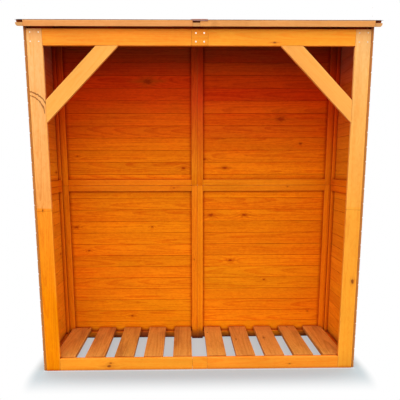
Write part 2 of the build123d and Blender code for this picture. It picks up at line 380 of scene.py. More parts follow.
# ---------- materials
class Nodes:
    """A short way to write the node tree of a material or a world."""

    def __init__(self, owner):
        owner.use_nodes = True
        self.owner = owner
        self.tree = owner.node_tree
        self.tree.nodes.clear()

    def put(self, socket, value):
        if isinstance(value, bpy.types.NodeSocket):
            self.tree.links.new(value, socket)
        else:
            socket.default_value = value

    def node(self, kind, settings=None, **inputs):
        made = self.tree.nodes.new(kind)
        for key, value in (settings or {}).items():
            setattr(made, key, value)
        for key, value in inputs.items():
            self.put(made.inputs[key.replace("_", " ")], value)
        return made

    def attribute(self, name, output="Vector"):
        return self.node("ShaderNodeAttribute", {"attribute_name": name}).outputs[output]

    def seen_directly(self):
        """1 for what the camera sees, also in a reflection or through glass."""
        path = self.node("ShaderNodeLightPath").outputs
        seen = self.math("MAXIMUM", path["Is Camera Ray"], path["Is Glossy Ray"])
        return self.math("MAXIMUM", seen, path["Is Transmission Ray"])

    def blend(self, share, a, b):
        """A mix of two shader nodes."""
        made = self.node("ShaderNodeMixShader", Fac=share)
        self.put(made.inputs[1], a.outputs[0])
        self.put(made.inputs[2], b.outputs[0])
        return made

    def math(self, operation, a, b=0.0, clamp=False):
        made = self.node("ShaderNodeMath", {"operation": operation, "use_clamp": clamp})
        self.put(made.inputs[0], a)
        self.put(made.inputs[1], b)
        return made.outputs[0]

    def times(self, a, b):
        return self.math("MULTIPLY", a, b)

    def plus(self, a, b, clamp=False):
        return self.math("ADD", a, b, clamp)

    def minus(self, a, b):
        return self.math("SUBTRACT", a, b)

    def vector(self, operation, a, b=(0, 0, 0)):
        made = self.node("ShaderNodeVectorMath", {"operation": operation})
        self.put(made.inputs[0], a)
        self.put(made.inputs[1], b)
        return made.outputs["Value" if operation in ("LENGTH", "DOT_PRODUCT") else "Vector"]

    def split(self, vector):
        return self.node("ShaderNodeSeparateXYZ", Vector=vector).outputs[:3]

    def join(self, x, y, z):
        return self.node("ShaderNodeCombineXYZ", X=x, Y=y, Z=z).outputs[0]

    def noise(self, vector, scale, detail=2.0, roughness=0.5, output="Fac", distortion=0.0):
        """Noise that is finer where scale, a number for each axis, is larger."""
        made = self.node("ShaderNodeTexNoise", Vector=self.vector("MULTIPLY", vector, scale), Scale=1.0,
                         Detail=detail, Roughness=roughness, Distortion=distortion)
        return made.outputs[output]

    def ramp(self, value, low, high, to_low=0.0, to_high=1.0, smooth=True):
        kind = "SMOOTHSTEP" if smooth else "LINEAR"
        made = self.node("ShaderNodeMapRange", {"interpolation_type": kind}, Value=value)
        for key, number in (("From Min", low), ("From Max", high), ("To Min", to_low), ("To Max", to_high)):
            self.put(made.inputs[key], number)
        return made.outputs["Result"]

    def mix(self, share, a, b, blend="MIX"):
        made = self.node("ShaderNodeMix", {"data_type": "RGBA", "blend_type": blend})
        self.put(made.inputs["Factor"], share)
        self.put(made.inputs[6], a)
        self.put(made.inputs[7], b)
        return made.outputs[2]

    def shader(self, **inputs):
        principled = self.node("ShaderNodeBsdfPrincipled", **inputs)
        self.node("ShaderNodeOutputMaterial", Surface=principled.outputs[0])
        return self.owner

    def bump(self, height, strength, distance):
        return self.node("ShaderNodeBump", Height=height, Strength=strength, Distance=distance).outputs[0]


def wood(name, early, late, knot_colour, roughness=0.5, specular=0.1, contrast=1.0, tone_range=0.12,
         changes=(), end_colour=None, scars=(), ragged_by=0.03, edge_wear_and_highlight=0.35, changes_inside=True):
    """Stained pine: growth rings about the pith, streaks, knots, end grain, rounded edges paler from wear and
    a painted highlight, and painted shade in creases.

    changes is a list of (early, late, start, stop): other colours, and the heights between which they take
    over;
    they paint shade, light and sheen by height. They stay on the inside of the walls, unless changes_inside
    is off. scars are dark lines on an upright face, arcs over a centre: (x, height, radius, half width,
    strength).
    """
    n = Nodes(bpy.data.materials.new(name))
    grain = n.attribute("grain")
    rings = n.attribute("rings")
    board = n.attribute("board")
    end = n.attribute("end", "Fac")
    arris = n.attribute("arris", "Fac")
    along, across, _ = n.split(grain)
    tone, warmth, gloss = n.split(board)
    wander = n.noise(grain, (1.6, 9, 9), output="Color")
    crumple = n.noise(grain, (60, 160, 160))

    # The grain swings round each knot, and the knot itself is darker, with a tail along the grain
    halo, closest, tail = 0.0, 9.0, 9.0
    for key in ("knot_a", "knot_b", "knot_c"):
        knot_along, knot_across, radius = n.split(n.attribute(key))
        du = n.minus(along, knot_along)
        dv = n.minus(across, knot_across)
        near = n.math("DIVIDE", n.vector("LENGTH", n.join(n.times(du, 0.55), dv, 0.0)), radius)
        far = n.math("DIVIDE", n.vector("LENGTH", n.join(n.times(du, 0.13), dv, 0.0)), radius)
        closest = n.math("MINIMUM", closest, near)
        tail = n.math("MINIMUM", tail, far)
        square = n.times(near, near)
        swell = n.math("DIVIDE", 1.0, n.plus(1.0, n.times(square, 0.16)))
        halo = n.plus(halo, swell)
    closest = n.plus(closest, n.ramp(crumple, 0.3, 0.7, -0.35, 0.35, False))

    # Growth rings
    shift = n.vector("MULTIPLY", n.vector("SUBTRACT", wander, (0.5, 0.5, 0.5)), (0, 0.016, 0.016))
    _, ring_v, ring_w = n.split(n.vector("ADD", rings, shift))
    reach = n.vector("LENGTH", n.join(0.0, ring_v, ring_w))
    phase = n.plus(n.math("DIVIDE", reach, RING_GAP), n.times(halo, 2.6))
    step = n.math("FRACT", phase)
    latewood = n.times(n.ramp(step, 0.35, 0.9), n.ramp(step, 1.0, 0.93))

    # Fibres and slow patches of stain
    fibre = n.noise(grain, (5, 420, 420), detail=3.0, roughness=0.6)
    streak = n.noise(grain, (1.3, 70, 70), detail=3.0, roughness=0.6)
    patch = n.noise(grain, (3.5, 14, 14))
    curl = n.noise(grain, (34, 95, 95), detail=3.0, roughness=0.6, distortion=0.8)

    streaks = n.times(n.ramp(streak, 0.35, 0.75), 0.35 * contrast)
    curls = n.ramp(curl, 0.3, 0.7, -0.28 * contrast, 0.28 * contrast, False)
    fibres = n.times(n.ramp(fibre, 0.4, 0.8), 0.16 * contrast)
    depth = n.plus(n.times(latewood, 0.42 * contrast), streaks)
    depth = n.plus(n.plus(depth, curls), fibres, clamp=True)
    colour = n.mix(depth, early, late)
    x, y, height = n.split(n.node("ShaderNodeNewGeometry").outputs["Position"])
    # Painted shade, light and sheen by height, kept to the inside of the walls unless changes_inside is off
    if changes:
        inside = 1.0
        if changes_inside:
            past_side = n.ramp(n.math("ABSOLUTE", x), INSIDE_X + 2.0 * MM, INSIDE_X + 1.0 * MM)
            inside = n.times(past_side, n.ramp(y, INSIDE_Y + 2.0 * MM, INSIDE_Y + 1.0 * MM))
        ragged = n.plus(height, n.ramp(patch, 0.3, 0.7, -ragged_by, ragged_by, False))
        for other_early, other_late, start, stop in changes:
            share = n.times(inside, n.ramp(ragged, start, stop, smooth=False))
            colour = n.mix(share, colour, n.mix(depth, other_early, other_late))
    value = n.plus(n.ramp(tone, 0, 1, 1 - tone_range / 2, 1 + tone_range / 2, False),
                   n.ramp(patch, 0.3, 0.7, -0.06, 0.06, False))
    hue = n.ramp(warmth, 0, 1, 0.4965, 0.5035, False)
    colour = n.node("ShaderNodeHueSaturation", Hue=hue, Saturation=1.0, Value=value, Color=colour).outputs[0]

    # Knots, end grain, and rounded edges paler from wear and a painted highlight
    core = n.ramp(closest, 1.45, 0.4, 0.0, 0.9)
    smear = n.times(n.ramp(tail, 1.5, 0.2, 0.0, 0.75), n.ramp(streak, 0.3, 0.6))
    ring = n.times(n.ramp(closest, 3.2, 1.0), 0.45)
    reddish = n.mix(0.45, late, knot_colour)
    colour = n.mix(n.math("MAXIMUM", ring, smear), colour, reddish)
    colour = n.mix(core, colour, knot_colour)
    colour = n.mix(n.times(end, 0.7), colour, end_colour or reddish)
    # Paler rounded edges: partly wear, partly a painted highlight
    paled_edge = n.times(n.times(arris, n.ramp(patch, 0.3, 0.6)), edge_wear_and_highlight)
    colour = n.mix(paled_edge, colour, tuple(min(1, c * 1.25 + 0.05) for c in early[:3]) + (1,))
    for centre_x, centre_z, radius, half, strength in scars:
        span_x, span_z = n.minus(x, centre_x), n.minus(height, centre_z)
        span = n.vector("LENGTH", n.join(span_x, span_z, 0.0))
        span = n.plus(span, n.ramp(crumple, 0.3, 0.7, -half / 2, half / 2, False))
        off_line = n.math("ABSOLUTE", n.minus(span, radius))
        line = n.ramp(off_line, half, half * 0.3, 0.0, strength)
        line = n.times(line, n.math("GREATER_THAN", height, centre_z))
        colour = n.mix(line, colour, knot_colour)

    # Painted shade where pieces meet: darker in creases, from ambient occlusion, a little less on rounded
    # edges
    crease = n.node("ShaderNodeAmbientOcclusion", {"samples": 8}, Distance=CREASE).outputs["AO"]
    hidden = n.ramp(crease, 1.0, 0.25, 0.0, 1.0, False)
    crease_shade = n.times(hidden, n.ramp(arris, 0, 1, 0.95, 0.65, False))
    colour = n.mix(crease_shade, colour, n.mix(1.0, colour, CREASE_SHADE_TINT, "MULTIPLY"))

    relief = n.plus(n.times(latewood, 0.5), n.times(fibre, 0.6))
    relief = n.plus(relief, n.times(core, 0.8))
    rough = n.plus(n.ramp(gloss, 0, 1, roughness - 0.05, roughness + 0.07, False),
                   n.times(n.minus(streak, 0.5), 0.25))
    rough = n.plus(rough, n.times(end, 0.25), clamp=True)
    return n.shader(Base_Color=colour, Roughness=rough, Specular_IOR_Level=specular,
                    Normal=n.bump(relief, 0.35, 0.5 * MM))


def felt_material(name, ground, fleck_dark, fleck_light):
    """Mineral felt: granules of stone on bitumen."""
    n = Nodes(bpy.data.materials.new(name))
    place = n.node("ShaderNodeTexCoord").outputs["Object"]
    cells = n.node("ShaderNodeTexVoronoi", {"feature": "F1"}, Vector=place, Scale=620.0)
    pick = n.split(cells.outputs["Color"])[0]
    patch = n.noise(place, (5, 5, 5), detail=4.0)
    colour = n.mix(n.ramp(pick, 0.55, 0.7), ground, fleck_dark)
    colour = n.mix(n.ramp(pick, 0.86, 0.9), colour, fleck_light)
    colour = n.mix(n.ramp(patch, 0.35, 0.7, 0.0, 0.35), colour, fleck_dark)
    height = n.minus(1.0, cells.outputs["Distance"])
    return n.shader(Base_Color=colour, Roughness=n.ramp(pick, 0, 1, 0.8, 0.95, False),
                    Specular_IOR_Level=0.35, Normal=n.bump(height, 0.7, 1.0 * MM))


def zinc_material(name):
    """Bright zinc-plated steel, lightly scuffed."""
    n = Nodes(bpy.data.materials.new(name))
    place = n.node("ShaderNodeTexCoord").outputs["Object"]
    scuff = n.noise(place, (900, 900, 900), detail=3.0)
    dull = n.noise(place, (60, 60, 60))
    colour = n.mix(n.ramp(dull, 0.4, 0.7), (0.95, 0.86, 0.70, 1), (0.72, 0.62, 0.46, 1))
    rough = n.ramp(scuff, 0.3, 0.7, 0.28, 0.5, False)
    return n.shader(Base_Color=colour, Metallic=1.0, Roughness=rough, Normal=n.bump(scuff, 0.2, 0.1 * MM))


RING_GAP = 6.0 * MM  # between growth rings
CREASE = 20.0 * MM  # from a corner, over which the painted shade reaches
CREASE_SHADE_TINT = (0.46, 0.07, 0.04, 1)  # what is left of the colour in the painted shade of a crease
INSIDE_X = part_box("side_stiles_lower")[1].x  # inside faces of the side and back boards
INSIDE_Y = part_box("back_stiles_lower_left")[1].y
KNOT = (0.24, 0.045, 0.006, 1)
WALL_KNOT = (0.40, 0.030, 0.0005, 1)
# Dark colour of the boards' end grain
DARK_END_GRAIN = (0.34, 0.13, 0.05, 1)
# Painted shade and light by height, on the inside of the walls: early wood, late wood, and where they start
# and are complete
# Painted shade under the roof: redder, then dark, towards the top
SHADE_UNDER_ROOF = [((0.84, 0.072, 0.001, 1), (0.66, 0.040, 0.0004, 1), 1.16, 1.62),
              ((0.36, 0.070, 0.014, 1), (0.27, 0.045, 0.010, 1), 1.76, 1.96)]
# Painted light low down: lighter and more orange towards the bottom
LIGHT_LOW_INSIDE = [((0.95, 0.275, 0.004, 1), (0.80, 0.148, 0.0015, 1), 0.85, 0.42)]
# Painted shade under the roof on the side walls: redder, then dark and greyer, towards the top
SHADE_UNDER_ROOF_SIDE = [((0.80, 0.16, 0.015, 1), (0.64, 0.10, 0.008, 1), 1.16, 1.62),
                   ((0.44, 0.20, 0.13, 1), (0.35, 0.14, 0.085, 1), 1.68, 1.95)]
# Painted shade near the ground, under the floor: dark
SHADE_NEAR_GROUND = [((0.40, 0.085, 0.020, 1), (0.26, 0.048, 0.009, 1), 0.075, 0.01)]
# Pale colours of the painted sheen on the posts
SHEEN_PALE = (1.0, 0.54, 0.185, 1), (0.93, 0.40, 0.10, 1)


def towards_sheen(early, late, steps):
    """Changes of colour towards the pale of a painted sheen: each step is (share, start, stop)."""
    def between(a, b, share):
        return tuple(p + (q - p) * share for p, q in zip(a, b))

    return [(between(early, SHEEN_PALE[0], share), between(late, SHEEN_PALE[1], share), start, stop)
            for share, start, stop in steps]


MATERIALS = {
    "frame_wood": wood("pine_frame", (1.0, 0.350, 0.024, 1), (0.98, 0.245, 0.009, 1), KNOT, 0.45, 0.08),
    "battens": wood("pine_battens", (0.92, 0.25, 0.004, 1), (0.78, 0.15, 0.001, 1), WALL_KNOT, 0.5, 0.04,
                    changes=SHADE_UNDER_ROOF + SHADE_NEAR_GROUND, edge_wear_and_highlight=0.1),
    "wall_boards": wood("pine_boards", (0.95, 0.25, 0.003, 1), (0.77, 0.12, 0.001, 1), WALL_KNOT, 0.52, 0.02,
                        contrast=1.2, changes=SHADE_UNDER_ROOF + LIGHT_LOW_INSIDE + SHADE_NEAR_GROUND, end_colour=DARK_END_GRAIN,
                        edge_wear_and_highlight=0.0),
    "floor_wood": wood("pine_floor", (0.75, 0.32, 0.055, 1), (0.57, 0.185, 0.022, 1), KNOT, 0.6, 0.1,
                       changes=SHADE_NEAR_GROUND),
    "roof_boards": wood("pine_roof", (0.55, 0.15, 0.012, 1), (0.40, 0.08, 0.005, 1), KNOT, 0.55, 0.1),
    "roof_felt": felt_material("felt_mineral", (0.16, 0.10, 0.085, 1), (0.05, 0.035, 0.03, 1),
                               (0.36, 0.25, 0.20, 1)),
}
# Boards of the side walls, lighter than the back wall's: painted light
SIDE_BOARDS_PAINTED_LIGHT = wood("pine_side_boards_painted_light", (0.96, 0.335, 0.010, 1), (0.80, 0.21, 0.004, 1), WALL_KNOT, 0.52, 0.03,
                   changes=SHADE_UNDER_ROOF_SIDE + SHADE_NEAR_GROUND, end_colour=DARK_END_GRAIN, edge_wear_and_highlight=0.0)
POST_LEFT = (1.0, 0.315, 0.001, 1), (0.90, 0.21, 0.0005, 1)
POST_RIGHT = (1.0, 0.38, 0.028, 1), (0.95, 0.28, 0.012, 1)
FINGER_JOINT = 0.965  # height of the joint in the length of the posts
# The scars are near the circles that were fitted to the real ones
SCAR_OUT = 0.25  # centre of the two scars, in widths of the post outside its outer edge
SCAR_UP = 0.6  # and above the foot of the brace
SCAR_REACH = (1.4, 1.15)  # radii of the scars, in widths of the post
FLAT_ARC = 30.0  # radius of an arc that is level over the width of a post


def post_scars():
    """Two arcs that a saw left on the left post, over the foot of its brace."""
    low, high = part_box("front_post_left")
    width = high.x - low.x
    centre = low.x - SCAR_OUT * width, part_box("brace_left")[0].z + SCAR_UP * width
    return [(*centre, reach * width, 5 * MM, 0.8) for reach in SCAR_REACH]


def post_wood(side, colours, specular, steps, scars=()):
    """A post's wood: paler from the finger joint up, a painted sheen."""
    joint = (0.0, FINGER_JOINT - FLAT_ARC, FLAT_ARC, 1.6 * MM, 0.5)
    return wood(f"pine_post_{side}", *colours, KNOT, 0.45, specular, contrast=1.2, tone_range=0.0,
                ragged_by=2.0 * MM, changes=towards_sheen(*colours, steps), changes_inside=False,
                scars=[*scars, joint])


AT_JOINT = (FINGER_JOINT, FINGER_JOINT + 4.0 * MM)
POST_WOOD = {
    "left": post_wood("left", POST_LEFT, 0.03, [(0.10, 0.45, 0.92), (0.48, *AT_JOINT), (1.0, 1.0, 1.75)],
                      post_scars()),
    "right": post_wood("right", POST_RIGHT, 0.1, [(0.08, 0.5, 0.92), (0.2, *AT_JOINT), (0.5, 1.0, 1.5),
                                                  (1.0, 1.5, 1.8)]),
}
BRACE_WOOD = wood("pine_brace", (1.0, 0.41, 0.078, 1), (0.93, 0.34, 0.045, 1), KNOT, 0.45, 0.1, contrast=0.9,
                  tone_range=0.02)
FASCIA_WOOD = wood("pine_fascia", (0.97, 0.42, 0.12, 1), (0.87, 0.31, 0.06, 1), KNOT, 0.5, 0.15, contrast=0.9,
                   tone_range=0.06)
BATTEN_END = (0.62, 0.34, 0.14, 1)
ROOF_BATTEN_WOOD = wood("pine_roof_batten", (0.90, 0.34, 0.07, 1), (0.75, 0.22, 0.03, 1), KNOT, 0.5, 0.1,
                        end_colour=BATTEN_END)
STRIP_FELT = felt_material("felt_strip", (0.50, 0.23, 0.17, 1), (0.28, 0.11, 0.08, 1), (0.64, 0.38, 0.30, 1))
ZINC = zinc_material("zinc")


# ---------- planks that follow a solid of the frame
def plank_like(timbers, points, axes, radius=ARRIS, side_gap=0.0, **options):
    low, high = extent(points, axes)
    low += Vector((SEAM, side_gap, 0))
    high -= Vector((SEAM, side_gap, 0))
    timbers.add(axes, low, high, rounded(low, high, radius), **options)


def planks(node, axes, radius=ARRIS, material=None, **options):
    """A piece with one plank for each solid of a node."""
    timbers = Timbers(node)
    for points in solids(node):
        plank_like(timbers, points, axes, radius, **options)
    timbers.finish(material)


UPRIGHT = Axes(Z, X)
LEVEL_FRONT = Axes(X, Z)
DEEP = Axes(Y, X)
FALL = Axes(UP_SLOPE, X)
ACROSS_ROOF = Axes(X, UP_SLOPE)


def front_frame():
    for side in SIDES:
        planks(f"front_post_{side}", UPRIGHT, material=POST_WOOD[side], knots=POST_KNOTS[side], knot_rate=0.0)
        planks(f"header_{side}", LEVEL_FRONT, knots=HEADER_KNOTS[side], knot_rate=0.0, tone=1.0)
        planks(f"sill_{side}", LEVEL_FRONT, knots=SILL_KNOTS[side], knot_rate=0.0, tone=0.5)
        brace(side)
    for node in ("header_centre", "sill_centre"):
        planks(node, LEVEL_FRONT, knot_rate=0.0, tone=0.6)
    planks("header_rail", LEVEL_FRONT)


def brace(side):
    """A brace, its ends cut to the post and to the header."""
    node = f"brace_{side}"
    outward = 1 if side == "right" else -1
    axes = Axes((outward, 0, -1), (outward, 0, 1))
    low, high = extent(solids(node)[0], axes)
    width = high[1] - low[1]
    # The long edge is the lower one: each end leans 45 degrees
    low[0] += width / 2 + SEAM
    high[0] -= width / 2 + SEAM
    timbers = Timbers(node)
    timbers.add(axes, low, high, rounded(low, high), shear=((1, 0), (-1, 0)), knot_rate=0.0)
    timbers.finish(BRACE_WOOD)


# Knots that stand out, near their measured places: share of the length, share of the width from the
# middle, radius
POST_KNOTS = {"left": [(0.5, -0.1, 3 * MM)], "right": [(0.28, 0.2, 8 * MM)]}
HEADER_KNOTS = {"left": [], "right": [(0.45, -0.3, 4 * MM)]}
SILL_KNOTS = {"left": [(0.37, -0.15, 7 * MM), (0.38, 0.1, 4 * MM)], "right": [(0.63, -0.1, 3 * MM)]}


def floor():
    """Slats, of which the outermost are notched round the outer stiles of the back wall."""
    stile_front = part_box("back_stiles_lower_right")[0].y
    stile_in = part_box("floor_bearer_rear")[1].x
    for side in SIDES:
        node = f"floor_slats_{side}"
        timbers = Timbers(node)
        for points in solids(node):
            low, high = extent(points, DEEP)
            outer = max(-low[1], high[1]) > stile_in
            notch = (stile_front - SEAM, SEAM - stile_in, stile_in - SEAM) if outer else None
            plank_like(timbers, points, DEEP, SLAT_EDGE, notch=notch, bevel=SLAT_BEVEL)
        timbers.finish()
    for node in ("floor_bearer_front", "floor_bearer_rear"):
        planks(node, LEVEL_FRONT, material=MATERIALS["battens"])


def wall_battens():
    for level in LEVELS:
        for side in SIDES:
            planks(f"back_stiles_{level}_{side}", UPRIGHT, STILE_EDGE, bow=PANEL_BOW, side_gap=STILE_GAP)
        planks(f"back_rails_{level}", LEVEL_FRONT, RAIL_EDGE, bow=PANEL_BOW, side_gap=RAIL_GAP)
        side_stiles(level)
        side_rails(level)


def side_stiles(level):
    """Stiles of both side walls, the upper ones cut to the slope of the roof."""
    node = f"side_stiles_{level}"
    axes = Axes(Z, Y)
    timbers = Timbers(node)
    lean = math.tan(SLOPE) if level == "upper" else 0
    for points in solids(node):
        low, high = extent(points, axes)
        width = high[1] - low[1]
        low[0] += SEAM
        high[0] -= SEAM + lean * width / 2
        section = rounded(low, high, SIDE_EDGE)
        timbers.add(axes, low, high, section, shear=((0, 0), (lean, 0)), bow=SIDE_BOW)
    timbers.finish()


def side_rails(level):
    """Level rails, and under the roof the ones that follow its slope."""
    node = f"side_rails_{level}"
    timbers = Timbers(node)
    for points in solids(node):
        level_rail = len({round(p.z, 4) for p in points}) == 2
        if level_rail:
            plank_like(timbers, points, Axes(Y, Z), RAIL_EDGE, bow=PANEL_BOW, side_gap=RAIL_GAP)
            continue
        axes = Axes(UP_SLOPE, OFF_ROOF)
        low, high = extent(points, axes)
        lean = math.tan(SLOPE)
        cut = SEAM + lean * (high[1] - low[1]) / 2
        low[0] += cut
        high[0] -= cut
        section = rounded(low, high, SIDE_EDGE)
        timbers.add(axes, low, high, section, shear=((lean, 0), (lean, 0)), bow=SIDE_BOW)
    timbers.finish()


# ---------- boards
def boards_of(timbers, axes, low, high, start, knots=()):
    """Tongue and groove boards from low[1] to high[1], with a joint at start and their inside at low[2].

    The lowest and the highest are cut to fit. knots are (board, share of its length, radius), with the boards
    counted up from the joint at start.
    """
    thick = high[2] - low[2]
    first = math.floor((low[1] - start) / WALL_COVER)
    last = math.ceil((high[1] - start) / WALL_COVER)
    for n in range(first, last):
        lower_joint, upper_joint = start + WALL_COVER * n, start + WALL_COVER * (n + 1)
        if min(upper_joint, high[1]) - max(lower_joint, low[1]) < NARROWEST:
            continue  # its neighbour takes in the strip
        bottom = low[1] if lower_joint - low[1] < NARROWEST else lower_joint
        top = high[1] if high[1] - upper_joint < NARROWEST else upper_joint
        section = tongued(bottom, top, thick, tongue=top < high[1], groove=bottom > low[1])
        slip = dice.uniform(-BOARD_SLIP, 0)
        section = [(v, low[2] + w * (1 + slip / thick), edge_wear_and_highlight) for v, w, edge_wear_and_highlight in section]
        chosen = [(share, 0.0, radius) for board, share, radius in knots if board == n]
        timbers.add(axes, low, high, section, knots=chosen, knot_rate=0.2, bow=BOARD_BOW)


def back_wall():
    axes = Axes(-X, Z)  # so that out is +Y
    for level in LEVELS:
        for side in SIDES:
            node = f"back_boards_{level}_{side}"
            low, high = extent(solids(node)[0], axes)
            low[0] += SEAM
            high[0] -= SEAM
            timbers = Timbers(node, "tongued")
            knots = [(board, 1 - share, radius) for board, share, radius in BACK_KNOTS[side]]
            boards_of(timbers, axes, low, high, LOWEST_JOINT, knots)
            timbers.finish()


# Knots of the back wall that stand out: board counted up, share from its left end, radius
BACK_KNOTS = {
    "left": [(21, 0.65, 16 * MM), (14, 0.9, 7 * MM), (9, 0.1, 7 * MM), (1, 0.5, 5 * MM)],
    "right": [(18, 0.6, 14 * MM), (16, 0.75, 6 * MM), (14, 0.2, 8 * MM),
              (10, 0.1, 10 * MM), (10, 0.35, 8 * MM), (6, 0.25, 7 * MM)],
}


def side_walls():
    for level in LEVELS:
        for side in SIDES:
            node = f"side_boards_{level}_{side}"
            outward = 1 if side == "right" else -1
            axes = Axes(Y * outward, Z)  # so that out is away from the bay
            points = solids(node)[0]
            low, high = extent(points, axes)
            timbers = Timbers(node, "tongued")
            boards_of(timbers, axes, low, high, LOWEST_JOINT)
            edge = max(points, key=lambda p: p.z)
            trims = [(edge - OFF_ROOF * SEAM, OFF_ROOF)] if level == "upper" else []
            timbers.finish(SIDE_BOARDS_PAINTED_LIGHT, trims)


# ---------- roof
def roof():
    """Both halves of the roof. FALL's out axis points down through it, and ACROSS_ROOF's points up."""
    for side in SIDES:
        roof_battens(side)
        planks(f"roof_rear_batten_{side}", ACROSS_ROOF, ROOF_EDGE)
        planks(f"roof_fascia_{side}", ACROSS_ROOF, ROOF_EDGE, FASCIA_WOOD, knot_rate=0.8)
        deck(side)
        felt(side)
    joint_strip()


def roof_battens(side):
    """Battens down the slope, of which the outer one has its lower outer edge rounded."""
    node = f"roof_battens_{side}"
    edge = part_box(node)[0].x if side == "left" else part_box(node)[1].x
    corner = 3 if side == "left" else 2
    timbers = Timbers(node)
    for points in solids(node):
        low, high = extent(points, FALL)
        outer = min(abs(low[1] - edge), abs(high[1] - edge)) < MM
        low[0] += SEAM
        high[0] -= SEAM
        section = rounded(low, high, ROOF_BATTEN_EDGE, steps=6, large_corner=corner if outer else None)
        timbers.add(FALL, low, high, section, knot_rate=0.6, bow=0.0)
    timbers.finish(ROOF_BATTEN_WOOD)


def deck(side):
    node = f"roof_deck_{side}"
    axes = Axes(X, -UP_SLOPE)  # so that the vee joints face down
    low, high = extent(solids(node)[0], axes)
    timbers = Timbers(node, "tongued")
    boards_of(timbers, axes, low, high, high[1])
    timbers.finish()


def finish_sheet(node, points, faces, material):
    name = f"{node}_sheet"
    mesh = bpy.data.meshes.new(name)
    mesh.from_pydata(points, [], faces)
    recalculate(mesh)
    smooth_by_angle(mesh)
    finish_piece(name, mesh, material, [node])


def joint_strip():
    """The strip over the joint of the roof, turned down in front, with a slight wave on top."""
    node = "roof_joint_strip"
    low, high = extent(solids(node)[0], FALL)
    felt_low, _ = extent(solids("roof_felt_right")[0], FALL)
    front, top, under = felt_low[0], low[2], felt_low[2]
    thick = under - top
    bend = thick * 0.8
    first_on_top, on_top = 4, 30
    bend_steps = 4
    outline = [(front, high[2]), (front, under), (high[0], under), (high[0], top)]
    outline += [(high[0] - (high[0] - front) * n / on_top, top) for n in range(1, on_top)]
    for n in range(bend_steps + 1):
        angle = math.pi / 2 * n / bend_steps
        outline.append((low[0] + bend - bend * math.sin(angle), top + bend - bend * math.cos(angle)))
    outline += [(low[0], high[2])]
    steps = 8
    points, faces = [], []
    for i in range(steps + 1):
        v = low[1] + (high[1] - low[1]) * i / steps
        for number, (u, w) in enumerate(outline):
            wavy = first_on_top <= number < first_on_top + on_top
            sag = 0.25 * thick * (0.5 + 0.5 * math.sin(31 * v + 9 * u)) if wavy else 0.0
            points.append(FALL.place(u, v, w + sag))
    count = len(outline)
    for i in range(steps):
        a, b = i * count, (i + 1) * count
        faces += [(a + j, a + (j + 1) % count, b + (j + 1) % count, b + j) for j in range(count)]
    faces += [tuple(range(count)), tuple(range(steps * count, (steps + 1) * count))]
    finish_sheet(node, points, faces, STRIP_FELT)


def felt(side):
    """A sheet of felt with slow waves and soft edges."""
    node = f"roof_felt_{side}"
    low, high = extent(solids(node)[0], FALL)
    top, under = low[2], high[2]
    thick = under - top
    nu, nv = (max(2, round((high[i] - low[i]) / FELT_GRID)) for i in (0, 1))
    seed = dice.uniform(0, 10)

    def depth(u, v, edge):
        wave = 0.5 + 0.25 * math.sin(9 * u + seed) + 0.25 * math.sin(7 * v + 5 * u + 2 * seed)
        return thick * (0.28 * wave + (0.3 if edge else 0))

    points, faces = [], []
    for layer in ("under", "top"):
        for i in range(nu + 1):
            for j in range(nv + 1):
                u = low[0] + (high[0] - low[0]) * i / nu
                v = low[1] + (high[1] - low[1]) * j / nv
                edge = i in (0, nu) or j in (0, nv)
                points.append(FALL.place(u, v, under if layer == "under" else top + depth(u, v, edge)))
    row = nv + 1
    size = row * (nu + 1)
    for i in range(nu):
        for j in range(nv):
            a, b, c, d = i * row + j, i * row + j + 1, (i + 1) * row + j + 1, (i + 1) * row + j
            faces.append((a, b, c, d))
            faces.append((size + d, size + c, size + b, size + a))
    rim = list(range(row)) + [i * row + nv for i in range(1, nu + 1)]
    rim += [nu * row + j for j in range(nv - 1, -1, -1)] + [i * row for i in range(nu - 1, 0, -1)]
    for a, b in zip(rim, rim[1:] + rim[:1]):
        faces.append((a, b, size + b, size + a))
    finish_sheet(node, points, faces, MATERIALS["roof_felt"])


# ---------- fasteners
class Heads:
    """Many screw or nail heads in one mesh."""

    def __init__(self, name):
        self.name = name
        self.points = []
        self.faces = []

    def loop(self, at, out, side, radii, height):
        up = out.cross(side)
        count = len(radii)
        first = len(self.points)
        for n, radius in enumerate(radii):
            angle = math.tau * n / count
            spoke = side * radius * math.cos(angle) + up * radius * math.sin(angle)
            self.points.append(at + spoke + out * height)
        return list(range(first, first + count))

    def skin(self, loops):
        for a, b in zip(loops, loops[1:]):
            for i in range(len(a)):
                j = (i + 1) % len(a)
                self.faces.append((a[i], a[j], b[j], b[i]))
        self.faces.append(tuple(reversed(loops[0])))
        self.faces.append(tuple(loops[-1]))

    def screw(self, at, out, radius=4.4 * MM):
        """Countersunk head with a cross recess."""
        side = out.orthogonal().normalized()
        side.rotate(Matrix.Rotation(dice.uniform(0, math.tau), 3, out))
        ring = [radius] * 16
        cross = [radius * (0.6 if n % 4 == 0 else 0.2) for n in range(16)]
        self.skin([self.loop(at, out, side, [r * 0.9 for r in ring], -1.2 * MM),
                   self.loop(at, out, side, ring, 0.1 * MM),
                   self.loop(at, out, side, [r * 0.94 for r in ring], 0.5 * MM),
                   self.loop(at, out, side, cross, 0.6 * MM),
                   self.loop(at, out, side, [r * 0.7 for r in cross], -0.8 * MM)])

    def nail(self, at, out, radius=2.6 * MM):
        side = out.orthogonal().normalized()
        self.skin([self.loop(at, out, side, [radius] * 10, -0.6 * MM),
                   self.loop(at, out, side, [radius] * 10, 0.15 * MM),
                   self.loop(at, out, side, [radius * 0.6] * 10, 0.45 * MM)])

    def finish(self, slot):
        mesh = bpy.data.meshes.new(self.name)
        mesh.from_pydata(self.points, [], self.faces)
        recalculate(mesh)
        smooth_by_angle(mesh, math.radians(50))
        return finish_piece(self.name, mesh, ZINC)


